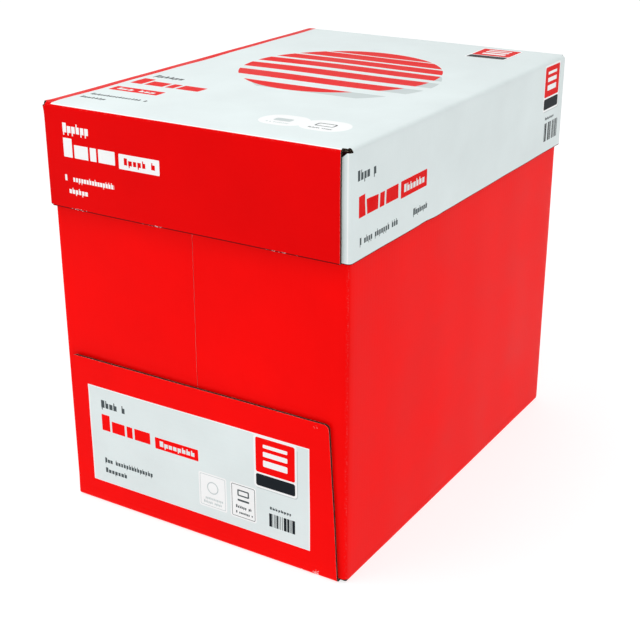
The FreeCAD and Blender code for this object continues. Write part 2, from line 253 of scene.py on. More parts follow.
def mirrored(part, sx, sy):
    """The same grid on the other side of the middle planes where sx or sy is -1."""
    turn = np.array([sx, sy, 1.0])
    return strip(part["point"] * turn, part["normal"] * turn, part["blank"] * turn[:2])


def columns(pairs, grid):
    """The two columns of pairs, each carried across a grid."""
    return (pairs[:, k][:, None] + 0 * grid for k in (0, 1))


def channel(half_x, turn_z, rim_z, fold, run):
    """The middle panel and the two long walls as one grid: a path across the carton that turns at both
    folds, carried along Y. turn_z is the height of the middle panel and rim_z that of the walls' edges.
    The blank's first coordinate is the length along the path from the middle."""
    wall = abs(turn_z - rim_z) - fold
    arc = fold * QUARTER
    half_run = half_x - fold + arc + wall
    up = 1.0 if turn_z > rim_z else -1.0
    folds = [(wall, -up), (half_run * 2 - wall - arc, -up)]
    flat, tangent = bent_path(run[0] + half_run, (-half_x, rim_z), up * QUARTER, folds, fold)
    out = up * np.stack([-tangent[:, 1], tangent[:, 0]], -1)
    u, v = np.meshgrid(run[0], run[1], indexing="ij")
    (x, z), (out_x, out_z) = columns(flat, v), columns(out, v)
    return strip(np.stack([x, v, z], -1), np.stack([out_x, 0 * v, out_z], -1), np.stack([u, v], -1))


def tuck_flap(half_x, end_y, fold, heights, wall_run, run, top):
    """The front right tuck flap as one grid: a path that leaves the long wall, turns the corner and runs
    along the end, carried up the heights. Above, each column is squeezed so that its top follows the
    outline top(x). wall_run is the blank's first coordinate at each height."""
    flat, tangent = bent_path(run, (half_x, -end_y), -QUARTER, [(0.0, -1)], fold)
    share = (heights - heights[0]) / (heights[-1] - heights[0])
    z = heights[0] + share[None, :] * (top(flat[:, 0]) - heights[0])[:, None]
    (x, y), (along_x, along_y) = columns(flat, z), columns(tangent, z)
    normal = np.stack([-along_y, along_x, 0 * z], -1)
    u = np.interp(z, heights, wall_run)
    v = -end_y - run[:, None] + 0 * z
    return strip(np.stack([x, y, z], -1), normal, np.stack([u, v], -1))


def outer_flap(start_y, start_z, fold, turn, straight, run, across, left, right):
    """The flap at the front end as one grid: a path that leaves the middle panel, folds and runs along
    the end, carried across. At each length of the path the positions across are stretched to reach from
    left to right, which are one number or one for each length."""
    flat, tangent = bent_path(run, (start_y, start_z), math.pi, [(straight, turn)], fold)
    share = (across - across[0]) / (across[-1] - across[0])
    low, high = (np.broadcast_to(edge, run.shape)[:, None] for edge in (left, right))
    x = low + share[None, :] * (high - low)
    (y, z), (along_y, along_z) = columns(flat, x), columns(tangent, x)
    normal = np.stack([0 * x, turn * along_z, -turn * along_y], -1)
    v = start_y - run[:, None] + 0 * x
    return strip(np.stack([x, y, z], -1), normal, np.stack([x, v], -1))


def grid_faces(shape, flip):
    """The quads of a grid, turned over where flip is true."""
    index = np.arange(shape[0] * shape[1]).reshape(shape)
    quads = np.stack([index[:-1, :-1], index[1:, :-1], index[1:, 1:], index[:-1, 1:]], -1).reshape(-1, 4)
    return quads[:, ::-1] if flip else quads


def weld(strips):
    """The strips' grids as one surface. Points that lie together become one, each face is turned so that it
    points along its normals, and every corner keeps the place on the blank that its own strip gave it."""
    quads, first = [], 0
    for part in strips:
        p, n = part["point"], part["normal"]
        i, j = (size // 2 for size in p.shape[:2])
        leaning = np.dot(np.cross(p[i, j] - p[i - 1, j], p[i, j] - p[i, j - 1]), n[i, j])
        quads.append(grid_faces(p.shape[:2], leaning < 0) + first)
        first += p.shape[0] * p.shape[1]
    quads = np.concatenate(quads)
    points, normals = (
        np.concatenate([part[key].reshape(-1, 3) for part in strips]) for key in ("point", "normal")
    )
    blanks = np.concatenate([part["blank"].reshape(-1, 2) for part in strips])
    key = np.round(points / (0.01 * MM)).astype(np.int64)
    _, kept, to_kept = np.unique(key, axis=0, return_index=True, return_inverse=True)
    return points[kept], normals[kept], to_kept.reshape(-1)[quads], blanks[quads]


def folded(normals):
    """How far a normal is turned between two panels: 0 on a flat panel and 1 in the middle of a fold."""
    return np.clip((1 - np.abs(normals).max(1)) / (1 - math.sqrt(0.5)), 0, 1)


def board_shell(strips, thickness):
    """A folded blank as one closed shell. Each outer point is paired with an inner one, a board's thickness
    back along its normal, and the open edges are closed by a rim. The faces' slots are 0 for the printed
    side, 1 for the inner side and 2 for the cut edge."""
    outer, normal, face, blank = weld(strips)
    count = len(outer)
    edges = np.stack([face, np.roll(face, -1, 1)], -1).reshape(-1, 2)
    edge_blank = np.stack([blank, np.roll(blank, -1, 1)], 2).reshape(-1, 2, 2)
    code = np.sort(edges, 1) @ np.array([count, 1])
    _, where, seen = np.unique(code, return_index=True, return_counts=True)
    low, high = edges[where[seen == 1]].T
    rim = np.stack([high, low, low + count, high + count], -1)
    rim_blank = edge_blank[where[seen == 1]][:, [1, 0, 0, 1]]
    return {
        "vertices": np.concatenate([outer, outer - thickness * normal]),
        "faces": np.concatenate([face, face[:, ::-1] + count, rim]),
        "blank": np.concatenate([blank, blank[:, ::-1], rim_blank]).reshape(-1, 2),
        "slots": np.repeat([0, 1, 2], [len(face), len(face), len(rim)]),
        "across": np.repeat([0.0, 1.0], count),
        "fold": np.tile(folded(normal), 2),
    }


def make_piece(name, shells, materials, body, node):
    """One object from closed shells. Its faces are smooth but for its sharp edges. The map blank holds each
    corner's place on the flat blank, across the share of the board's thickness, and fold the folds."""
    firsts = np.cumsum([0] + [len(shell["vertices"]) for shell in shells[:-1]])
    whole = {key: np.concatenate([shell[key] for shell in shells]) for key in shells[0] if key != "faces"}
    faces = np.concatenate([shell["faces"] + first for shell, first in zip(shells, firsts)])
    mesh = bpy.data.meshes.new(name)
    mesh.from_pydata(whole["vertices"].tolist(), [], faces.tolist())
    mesh.uv_layers.new(name="blank").uv.foreach_set("vector", whole["blank"].astype(np.float32).ravel())
    for key in ("across", "fold"):
        mesh.attributes.new(key, "FLOAT", "POINT").data.foreach_set("value", whole[key].astype(np.float32))
    mesh.polygons.foreach_set("material_index", whole["slots"].astype(np.int32))
    mesh.polygons.foreach_set("use_smooth", np.ones(len(faces), bool))
    mesh.set_sharp_from_angle(angle=SHARP)
    for material in materials:
        mesh.materials.append(material)
    mesh.update()
    obj = bpy.data.objects.new(name, mesh)
    bpy.context.collection.objects.link(obj)
    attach(obj, body)
    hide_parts(node)
    return obj


def hump(x, low, high):
    """A smooth rise and fall between low and high: the square of a half sine, and zero outside."""
    share = np.clip((x - low) / (high - low), 0, 1)
    return np.sin(np.pi * share) ** 2


def rise(x, low, high):
    """A smooth step from 0 at low to 1 at high: three times the share squared less twice its cube."""
    share = np.clip((x - low) / (high - low), 0, 1)
    return share * share * (3 - 2 * share)


def slow_waves(a, b, seed):
    """Slow waves between -1 and 1 over two lengths: the mean of a few crossed sines with periods from 60
    to 190 mm, whose slants and phases follow from the seed."""
    total = np.zeros_like(a)
    periods = (0.19, 0.13, 0.09, 0.06)
    for order, period in enumerate(periods):
        slant = seed * 1.7 + order * 2.4
        way = a * math.cos(slant) + b * math.sin(slant)
        total += np.sin(2 * np.pi * way / period + seed + order * order)
    return total / len(periods)


def pushed(part, offset):
    """The strip moved along its normals by the offsets."""
    return strip(part["point"] + part["normal"] * offset[..., None], part["normal"], part["blank"])


def settle(part, low, high, bulge_z, bulge, wave):
    """The strip with the unevenness of real panels: each wall bows out by up to bulge between the heights
    bulge_z, and every panel but the floor has slow waves, which fade near the folds at low and high."""
    x, y, z = np.moveaxis(part["point"], -1, 0)
    nx, ny, nz = np.moveaxis(part["normal"], -1, 0) ** 6
    nz = nz * (part["normal"][..., 2] > 0)
    margin = 6 * MM

    def inside(value, axis):
        return rise(value, low[axis], low[axis] + margin) * rise(-value, -high[axis], -high[axis] + margin)

    bow = bulge * hump(z, *bulge_z) * (nx * hump(y, low[1], high[1]) + 0.6 * ny * hump(x, low[0], high[0]))
    fade = 0.25 + 0.75 * (nx * inside(y, 1) + ny * inside(x, 0) + nz * inside(x, 0) * inside(y, 1))
    waves = nx * slow_waves(y, z, 1.3) + ny * slow_waves(x, z, 4.1) + nz * (1 + slow_waves(x, y, 2.2))
    return pushed(part, bow + wave * waves * fade)


def dented(part, centre, radius, depth):
    """The strip pushed in about a centre by the depth times a bell curve of the distance over radius."""
    distance = np.linalg.norm(part["point"] - np.array(centre), axis=-1)
    return pushed(part, -depth * np.exp(-((distance / radius) ** 2)))


def build_tray():
    """The tray's blank: floor and walls, four tuck flaps and two outer flaps."""
    s = sizes()
    fold = s.fold_inside + s.board
    arc = fold * QUARTER
    half_x, flap_y, top = TRAY_HIGH
    half_y = flap_y - s.glue_line - s.board
    flat_x = half_x - fold
    end_y = half_y - fold
    tuck_base = s.board + s.tuck_clearance
    wall_start = flat_x + arc
    half_run = wall_start + top - fold
    base_run = wall_start + tuck_base - fold
    left, right = flat_x - s.flap_left, flat_x - s.flap_right

    stops = [-half_run, -base_run, -wall_start, -flat_x, -left]
    stops += [right, flat_x, wall_start, base_run, half_run]
    arc_pitch = arc / 6
    fine = {2: arc_pitch, 6: arc_pitch}
    u = divide(stops, s.mesh_pitch, fine)
    v = divide([-end_y, 0.0, end_y], s.mesh_pitch)
    strips = [channel(half_x, 0.0, top, fold, (u, v))]

    wall_run = u[u > base_run - SLACK]
    heights = wall_run - wall_start + fold
    leaf = flat_x - s.seam_gap / 2
    run = divide([0.0, arc, arc + leaf], s.mesh_pitch, {0: arc_pitch})
    tuck = tuck_flap(half_x, end_y, fold, heights, wall_run, run, lambda x: np.full_like(x, top))
    strips += [mirrored(tuck, sx, sy) for sx in (1, -1) for sy in (1, -1)]

    straight = s.glue_line + s.board
    bend_end = straight + arc
    leaf = s.flap_height - fold
    across = u[(u > -left - SLACK) & (u < right + SLACK)]
    stops = [0.0, straight, bend_end, bend_end + leaf - s.flap_corner, bend_end + leaf]
    run = divide(stops, s.mesh_pitch, {1: arc_pitch, 3: s.flap_corner / 6})

    # the flap narrows with the share of its height, and its corners draw in along a quarter circle
    share = np.clip((run - bend_end) / leaf, 0, 1)
    beyond = np.clip(run - (bend_end + leaf - s.flap_corner), 0, s.flap_corner)
    inset = s.flap_corner - np.sqrt(np.maximum(s.flap_corner**2 - beyond**2, 0))
    low, high = inset + s.taper_left * share - left, right - s.taper_right * share - inset
    flap = outer_flap(-end_y, 0.0, fold, -1, straight, run, across, low, high)
    # its free edge stands off a quarter in the middle, fully at the left and nearly half at the right
    z, x = flap["point"][..., 2], flap["point"][..., 0]
    free = rise(z, 0.72 * s.flap_height, s.flap_height)
    share = 0.25 + 0.75 * rise(-x, 30 * MM, half_x) + 0.2 * rise(x, 60 * MM, half_x)
    flap = pushed(flap, s.flap_lift * free * share)
    strips += [flap, mirrored(flap, 1, -1)]

    # the walls bow most about 100 mm up, and stand straight again above the lid's rim
    low, high = np.array([-half_x, -half_y, 0.0]), np.array([half_x, half_y, top])
    bulge_z = (-20 * MM, LID_LOW[2] + 12 * MM)
    strips = [settle(part, low, high, bulge_z, s.bulge, s.wave) for part in strips]
    return board_shell(strips, s.board)


def build_lid():
    """The lid's blank: top and long skirts, four tuck flaps with a relief, and two end skirts."""
    s = sizes()
    fold = s.fold_inside + s.board
    arc = fold * QUARTER
    half_x, skirt_y, top = LID_HIGH
    base = LID_LOW[2]
    half_y = skirt_y - s.glue_line - s.board
    flat_x = half_x - fold
    end_y = half_y - fold
    wall_start = flat_x + arc
    half_run = wall_start + top - fold - base
    left, right = half_x - s.skirt_left, half_x - s.skirt_right

    arc_pitch = arc / 6
    stops = [-half_run, -wall_start, -flat_x, -left, right, flat_x, wall_start, half_run]
    u = divide(stops, s.mesh_pitch, {1: arc_pitch, 5: arc_pitch})
    v = divide([-end_y, 0.0, end_y], s.mesh_pitch)
    strips = [channel(half_x, top, base, fold, (u, v))]

    wall_run = u[u > wall_start - SLACK][::-1]
    heights = top - fold - (wall_run - wall_start)

    def tuck_top(x):
        share = np.clip((flat_x - x) / (s.relief_width - fold), 0, 1)
        return top - fold - (s.relief_drop - fold) * share

    leaf = s.tuck_length - fold
    stops = [0.0, arc, arc + s.relief_width - fold, arc + leaf]
    run = divide(stops, s.mesh_pitch, {0: arc_pitch, 1: 1.2 * MM})
    tuck = tuck_flap(half_x, end_y, fold, heights, wall_run, run, tuck_top)
    strips += [mirrored(tuck, sx, sy) for sx in (1, -1) for sy in (1, -1)]

    straight = s.glue_line + s.board
    across = u[np.abs(u) < flat_x + SLACK]
    run = divide([0.0, straight], s.mesh_pitch / 4)
    roof = outer_flap(-end_y, top, fold, 1, straight, run, across, -flat_x, flat_x)
    leaf = top - fold - base
    run = divide([straight, straight + arc, straight + arc + leaf], s.mesh_pitch, {0: arc_pitch})
    across = across[(across > -left - SLACK) & (across < right + SLACK)]
    skirt = outer_flap(-end_y, top, fold, 1, straight, run, across, -left, right)
    strips += [roof, skirt, mirrored(roof, 1, -1), mirrored(skirt, 1, -1)]

    low, high = np.array([-half_x, -half_y, base]), np.array([half_x, half_y, top])
    bulge_z = (base - (top - base), top)
    strips = [settle(part, low, high, bulge_z, 0.6 * s.bulge, s.wave) for part in strips]
    # knocks in the right skirt, and the left corner pushed out: place, radius and depth
    for x, along, up, radius, depth in (
        (half_x, 94 * MM, 4 * MM, 7 * MM, s.dent),
        (half_x, 104 * MM, 2 * MM, 9 * MM, -0.9 * s.dent),
        (half_x, 22 * MM, 34 * MM, 6 * MM, s.dent),
        (half_x, 36 * MM, 38 * MM, 10 * MM, -0.8 * s.dent),
        (-half_x, 0.0, top - base, 5 * MM, -1.3 * s.dent),
    ):
        strips = [dented(part, (x, along - skirt_y, base + up), radius, depth) for part in strips]
    return board_shell(strips, s.board)


def wrapped_block(low, high, radius, pitch, ripple):
    """A block with rounded edges as six welded grids. Each grid point on the block's box is drawn back to
    the nearest point of a smaller box, radius inside it, and set radius away from there towards the box
    point. The sides ripple by slow waves that fade at the top and the bottom."""
    inner_low, inner_high = low + radius, high - radius
    strips = []
    for axis in range(3):
        a, b = [i for i in range(3) if i != axis]
        ia, ib = (
            divide([low[i], inner_low[i], inner_high[i], high[i]], pitch, {0: pitch / 8, 2: pitch / 8})
            for i in (a, b)
        )
        for side in (low, high):
            point = np.empty((len(ia), len(ib), 3))
            point[..., a], point[..., b], point[..., axis] = ia[:, None], ib[None, :], side[axis]
            core = np.clip(point, inner_low, inner_high)
            normal = (point - core) / np.linalg.norm(point - core, axis=-1, keepdims=True)
            point = core + radius * normal
            x, y, z = np.moveaxis(point, -1, 0)
            height = hump(z, low[2], high[2])
            offset = ripple * height * slow_waves(x + y, 2 * z + x - y, low[2] * 70)
            blank = np.stack([point[..., a] + 2 * axis, point[..., b] + side[axis]], -1)
            strips.append(pushed(strip(point, normal, blank), offset))
    points, normals, faces, blanks = weld(strips)
    return {
        "vertices": points,
        "faces": faces,
        "blank": blanks.reshape(-1, 2),
        "slots": np.zeros(len(faces), int),
        "across": np.zeros(len(points)),
        "fold": folded(normals),
    }


def wrap_flap(low, high, side, s):
    """The flap folded down last over one end of a wrapper, as a thin closed shell: its half width falls by
    the length come down, as the folds under it lie at 45 degrees."""
    top = high[2] - s.wrap_corner
    down = np.linspace(0, s.wrap_depth, 18)[:, None]
    across = np.linspace(-1, 1, 61)[None, :]
    x = across * (high[0] - s.wrap_inset - down)
    z = top - down + 0 * x
    y = side * (high[1] + 0.12 * MM * rise(down, 0.4 * s.wrap_depth, s.wrap_depth)) + 0 * x
    normal = np.zeros((*x.shape, 3))
    normal[..., 1] = side
    flap = strip(np.stack([x, y, z], -1), normal, np.stack([x + 8 + side, z], -1))
    shell = board_shell([flap], s.paper_wrap)
    shell["slots"][:] = 0
    return shell


# Print, with painted shadow at the lid's lower edges: each panel of a blank is painted in millimetres
# from its own lower left corner


# shape, ink, left, low, right, high, and corner radius, letter width or bar width
LABEL_PRINT = (
    ("box", "white", 20.2, 16.8, 194.8, 88.7, 0.2),
    ("box", "paper", 21, 17, 194, 88, 0.3),
    ("type", "grey", 30.5, 74, 51.5, 79.5, 3.5),
    ("word", "red", 30.5, 57, 71.5, 69, 0.4),
    ("box", "red", 75.5, 55.6, 110.5, 64, 0.6),
    ("type", "paper", 79, 58, 107.5, 62, 3.6),
    ("type", "grey", 30.5, 32.3, 71.5, 36, 2.3),
    ("type", "grey", 30.5, 24.7, 49.5, 28.4, 2.7),
    ("box", "white", 110, 24, 132, 49, 1.5),
    ("box", "shade", 111, 25, 131, 48, 1.0),
    ("box", "white", 111.4, 25.4, 130.6, 47.6, 0.8),
    ("box", "shade", 116.5, 34.5, 125.5, 43.5, 4.5),
    ("box", "white", 117.3, 35.3, 124.7, 42.7, 3.7),
    ("type", "shade", 113.5, 30, 129, 32, 1.3),
    ("type", "shade", 113.5, 27, 128, 29, 1.2),
    ("box", "white", 135, 23.5, 155, 49, 1.5),
    ("box", "grey", 136, 24.5, 154, 48, 1.0),
    ("box", "white", 136.4, 24.9, 153.6, 47.6, 0.8),
    ("box", "grey", 140.5, 39.8, 149.5, 44.6, 0.8),
    ("box", "white", 141.5, 40.8, 148.5, 43.6, 0.4),
    ("box", "grey", 140.5, 36.2, 149.5, 37.6, 0.6),
    ("type", "grey", 139, 31, 151, 33.2, 1.4),
    ("type", "grey", 139, 27, 152, 28.8, 1.2),
    ("box", "shade", 154.6, 50.4, 186.4, 86.2, 2.4),
    ("box", "white", 154, 51, 185.8, 88.7, 2.4),
    ("box", "red", 155.4, 62.2, 184.4, 86.6, 1.4),
    ("box", "white", 161, 80, 179, 82.4, 0.6),
    ("box", "white", 161, 74, 179, 77.4, 0.6),
    ("box", "white", 161, 67, 179, 71.4, 0.6),
    ("box", "black", 155.4, 52.4, 184.4, 61, 1.4),
    ("type", "grey", 165, 37.5, 181, 39.5, 2.1),
    ("bars", "black", 164, 25, 185, 34.5, 0.42),
    ("scuff", "white", 184, -1, 194, 4, 0.58),
    ("scuff", "white", 194, -3, 204, 6, 0.5),
    ("scuff", "white", 196, 100, 203, 110, 0.6),
)
END_PRINT_AND_SHADOW = (
    # painted shadow: a dark band along the end skirt's lower edge
    ("box", "rim", 0, 200, 222, 211.8, 0.01),
    ("type", "white", 17.5, 260.5, 38.5, 266.5, 3.5),
    ("word", "white", 17.5, 245, 58.5, 257, 0.4),
    ("box", "white", 61.5, 243.6, 92.5, 253, 0.6),
    ("type", "red", 65, 246.4, 89.5, 250.8, 3.5),
    ("type", "white", 16.5, 229.6, 56.5, 233.4, 2.2),
    ("type", "white", 16.5, 221.6, 34.5, 225.4, 2.6),
    ("scuff", "white", 14, 208, 42, 213.4, 0.52),
    ("scuff", "white", 62, 208, 110, 213, 0.56),
    ("scuff", "white", 150, 208, 210, 213, 0.56),
)
SKIRT_PRINT_AND_SHADOW = (
    # painted shadow: a dark band along the long skirt's lower edge
    ("box", "rim", -12, 200, 328, 211.7, 0.01),
    ("type", "ink", 9, 257.5, 31, 263.5, 3.6),
    ("word", "accent", 11, 236, 57, 248.5, 0.4),
    ("box", "accent", 60, 234.5, 93, 245, 0.6),
    ("type", "ground", 63.5, 237.5, 90, 242.3, 3.8),
    ("type", "ink", 12, 220, 57, 224.2, 2.5),
    ("type", "ink", 76, 220, 95, 224.2, 2.7),
    ("box", "shade", 275.4, 241.4, 303.8, 274.6, 2.4),
    ("box", "white", 274.6, 242, 303, 275.4, 2.4),
    ("box", "red", 276, 252.2, 301.6, 274, 1.4),
    ("box", "white", 281, 268.4, 296.6, 270.4, 0.5),
    ("box", "white", 281, 263, 296.6, 266, 0.5),
    ("box", "white", 281, 256.8, 296.6, 260.6, 0.5),
    ("box", "black", 276, 243.4, 301.6, 251, 1.4),
    ("type", "ink", 280, 235.5, 296, 237.5, 2.1),
    ("bars", "black", 280, 219.5, 304, 233, 0.5),
)
# low edge and height of the pale bands that cut the lid's disc
DISC_BANDS = ((232, 2), (214, 3.5), (195, 5), (174, 7), (150, 9), (122, 12), (94, 14))
TOP_PRINT = (
    ("box", "shade", 62, 96, 190, 224, 64),
    ("box", "red", 41, 108, 181, 248, 70),
    *(("box", "paper", 30, low, 200, low + height, 0.1) for low, height in DISC_BANDS),
    ("type", "grey", 14, 95, 38, 101, 4),
    ("word", "red", 13, 72, 68, 88, 0.4),
    ("box", "red", 13, 50, 52, 60, 0.6),
    ("type", "paper", 17, 53, 48, 57.2, 4.4),
    ("type", "grey", 13, 32, 58, 36, 2.5),
    ("type", "grey", 13, 22, 36, 26, 2.9),
    ("box", "white", 140, 26, 172, 50, 12),
    ("box", "white", 168, 26, 200, 50, 12),
    ("box", "shade", 149, 36, 161, 42, 1.5),
    ("type", "shade", 147, 31, 163, 33, 1.3),
    ("box", "grey", 177, 36.4, 190, 43, 1.5),
    ("box", "white", 178, 37.4, 189, 42, 1),
    ("type", "grey", 176, 31, 192, 33, 1.3),
    ("box", "shade", 160.6, 269.4, 192.6, 305, 2.4),
    ("box", "white", 160, 270, 192, 306, 2.4),
    ("box", "red", 161.4, 281.2, 190.6, 304.6, 1.4),
    ("box", "white", 167, 299, 185, 301.4, 0.6),
    ("box", "white", 167, 293, 185, 296.4, 0.6),
    ("box", "white", 167, 286, 185, 290.4, 0.6),
    ("box", "black", 161.4, 271.4, 190.6, 280, 1.4),
)


def shape_group(name, draw):
    """A node group that gives a mask of one printed shape between two corners of a panel."""
    tree = bpy.data.node_groups.new("print_" + name, "ShaderNodeTree")
    for socket, kind in (("Place", "Vector"), ("Low", "Vector"), ("High", "Vector"), ("Detail", "Float")):
        tree.interface.new_socket(socket, in_out="INPUT", socket_type="NodeSocket" + kind)
    tree.interface.new_socket("Mask", in_out="OUTPUT", socket_type="NodeSocketFloat")
    given = tree.nodes.new("NodeGroupInput")
    out = tree.nodes.new("NodeGroupOutput")
    feed(out, {0: draw(partial(add_node, tree), *(given.outputs[i] for i in range(4)))})
    return tree


def draw_box(add, place, low, high, radius):
    """A rounded rectangle: 1 where the distance to the rectangle drawn in by the radius is below it."""
    middle = add("VectorMath MULTIPLY", add("VectorMath ADD", low, high), (0.5, 0.5, 0))
    reach = add("VectorMath SUBTRACT", high, middle)
    away = add("VectorMath ABSOLUTE", add("VectorMath SUBTRACT", place, middle))
    core = add("VectorMath SUBTRACT", reach, add("CombineXYZ", radius, radius, 0.0))
    beyond = add("VectorMath MAXIMUM", add("VectorMath SUBTRACT", away, core), (0, 0, 0))
    distance = add("VectorMath LENGTH", beyond).outputs["Value"]
    return add("Math LESS_THAN", distance, radius)


GOLDEN = (1 + math.sqrt(5)) / 2  # so that no two lines of type start with the same hash


def draw_type(add, place, low, high, pitch):
    """A line of type as plain blocks, one to a cell of the pitch. A hash of the cell's number gives the
    block's width, a stem above or below it, and now and then a gap. The first block has full height."""
    local = add("SeparateXYZ", add("VectorMath SUBTRACT", place, low))
    size = add("SeparateXYZ", add("VectorMath SUBTRACT", high, low))
    x, y, length, height = local.outputs[0], local.outputs[1], size.outputs[0], size.outputs[1]
    cell = add("Math DIVIDE", x, pitch)
    number = add("Math FLOOR", cell)
    part = add("Math FRACT", cell)
    key = add("VectorMath MULTIPLY_ADD", low, (GOLDEN, 1, 0), add("CombineXYZ", number))
    chance = add("TexWhiteNoise", key, noise_dimensions="3D")
    draw = add("SeparateColor", chance.outputs["Color"])
    first = add("Math LESS_THAN", number, 0.5)
    level = add("Math DIVIDE", y, height)
    body = add("Math MULTIPLY_ADD", first, 0.3, 0.7)
    half_body = add("Math MULTIPLY", body, 0.5)
    half_wide = add("Math MULTIPLY_ADD", draw.outputs[0], 0.08, 0.34)
    block = add(
        "Math MULTIPLY",
        add("Math COMPARE", part, 0.5, half_wide),
        add("Math COMPARE", level, half_body, half_body),
    )
    above = add("Math GREATER_THAN", draw.outputs[1], 0.6)
    below = add("Math LESS_THAN", draw.outputs[1], 0.3)
    middle = add("Math ADD", add("Math MULTIPLY_ADD", above, 0.15, 0.35), add("Math MULTIPLY", below, -0.14))
    reach = add("Math ADD", add("Math MULTIPLY_ADD", above, 0.15, 0.35), add("Math MULTIPLY", below, 0.14))
    stem = add(
        "Math MULTIPLY",
        add("Math COMPARE", part, 0.28, 0.12),
        add("Math COMPARE", level, middle, reach),
    )
    shown = add(
        "Math MULTIPLY",
        add("Math COMPARE", add("Math DIVIDE", x, length), 0.5, 0.5),
        add("Math GREATER_THAN", draw.outputs[2], 0.1),
    )
    return add("Math MULTIPLY", add("Math MAXIMUM", block, stem), shown)


def draw_bars(add, place, low, high, pitch):
    """Upright bars in a rectangle: each cell of the pitch is inked where a hash of its number says so."""
    x = add("SeparateXYZ", place)
    number = add("Math FLOOR", add("Math DIVIDE", x, pitch))
    inked = add("Math GREATER_THAN", add("TexWhiteNoise", None, number, noise_dimensions="1D"), 0.42)
    return add("Math MULTIPLY", inked, draw_box(add, place, low, high, 0.05))


def draw_scuff(add, place, low, high, grain):
    """Small scuffed specks in an oval: 1 where a noise of about a millimetre is above the grain plus the
    squared distance from the middle, measured in half sizes."""
    middle = add("VectorMath SCALE", add("VectorMath ADD", low, high), inputs={"Scale": 0.5})
    away = add(
        "VectorMath DIVIDE",
        add("VectorMath SUBTRACT", place, middle),
        add("VectorMath SUBTRACT", high, middle),
    )
    squared = add("VectorMath DOT_PRODUCT", away, away).outputs["Value"]
    noise = add("TexNoise", place, inputs={"Scale": 0.9, "Detail": 3.0, "Roughness": 0.7})
    return add("Math GREATER_THAN", noise, add("Math MULTIPLY_ADD", squared, 0.3, grain))


def print_shapes():
    """The node groups of all printed shapes."""
    drawings = {"box": draw_box, "type": draw_type, "bars": draw_bars, "scuff": draw_scuff}
    return [shape_group(name, draw) for name, draw in drawings.items()]


def spelled(layers):
    """The layers with each large word put as four plain blocks, the first of them at full height."""
    for shape, ink, left, low, right, high, detail in layers:
        if shape != "word":
            yield shape, ink, left, low, right, high, detail
            continue
        reach = right - left
        for start, stop, share in ((0, 0.17, 1), (0.21, 0.48, 0.7), (0.52, 0.64, 0.7), (0.68, 1, 0.7)):
            top = low + share * (high - low)
            yield "box", ink, left + start * reach, low, left + stop * reach, top, detail


def paint(add, ground, place, layers, inks):
    """The ground colour with the layers of print over it, drawn in order at the panel's place."""
    for shape, ink, left, low, right, high, detail in spelled(layers):
        group = bpy.data.node_groups["print_" + shape]
        mask = add("Group", place, (left, low, -99), (right, high, 99), detail, node_tree=group)
        ground = add("MixRGB", mask, ground, inks[ink])
    return ground


def new_material(name):
    """A new material, its shader, and the function that adds a node to its tree."""
    material = bpy.data.materials.new(name)
    material.use_nodes = True
    tree = material.node_tree
    return material, tree.nodes["Principled BSDF"], partial(add_node, tree)


def turned(add, blank, axis):
    """The place on the blank, turned half round where the given coordinate is negative."""
    side = add("Math SIGN", add("SeparateXYZ", blank).outputs[axis])
    return add("VectorMath SCALE", blank, inputs={"Scale": side})


def finish_print(add, shader, blank, colour, inks):
    """Flexographic print under a thin satin varnish on fluted board: flat ink that is a little uneven,
    worn pale along the folds in specks of about a millimetre, with the board's flutes just showing
    through as a washboard. The unevenness drifts over about 60 mm, as ink from a worn plate does."""
    s = sizes()
    blotch = add("TexNoise", blank, inputs={"Scale": 1 / (62.5 * MM), "Detail": 4.0, "Roughness": 0.55})
    speck = add("TexNoise", blank, inputs={"Scale": 1 / (1.1 * MM), "Detail": 3.0})
    fold = add("Attribute", attribute_name="fold")
    worn = add("Math MULTIPLY", fold.outputs["Fac"], add("MapRange", speck, 0.52, 0.7, 0.0, 0.08))
    colour = add("MixRGB", worn, colour, inks["white"])
    tone = add("MapRange", blotch, 0.3, 0.7, 0.955, 1.03)
    colour = add("VectorMath SCALE", colour, inputs={"Scale": tone})
    gloss = add("MapRange", blotch, 0.3, 0.7, 0.34, 0.44)
    across = add("SeparateXYZ", blank).outputs[1]
    flutes = add("Math SINE", add("Math MULTIPLY", across, 2 * math.pi / s.flute_pitch))
    grain = add("Math MULTIPLY_ADD", speck, 0.25, add("Math MULTIPLY", flutes, 0.5))
    bump = add("Bump", inputs={"Height": grain, "Distance": 0.03 * MM, "Strength": 0.6})
    feed(shader, {"Base Color": colour, "Roughness": gloss, "Normal": bump})
    feed(shader, {"Specular IOR Level": 0.035, "Specular Tint": colours().sheen})


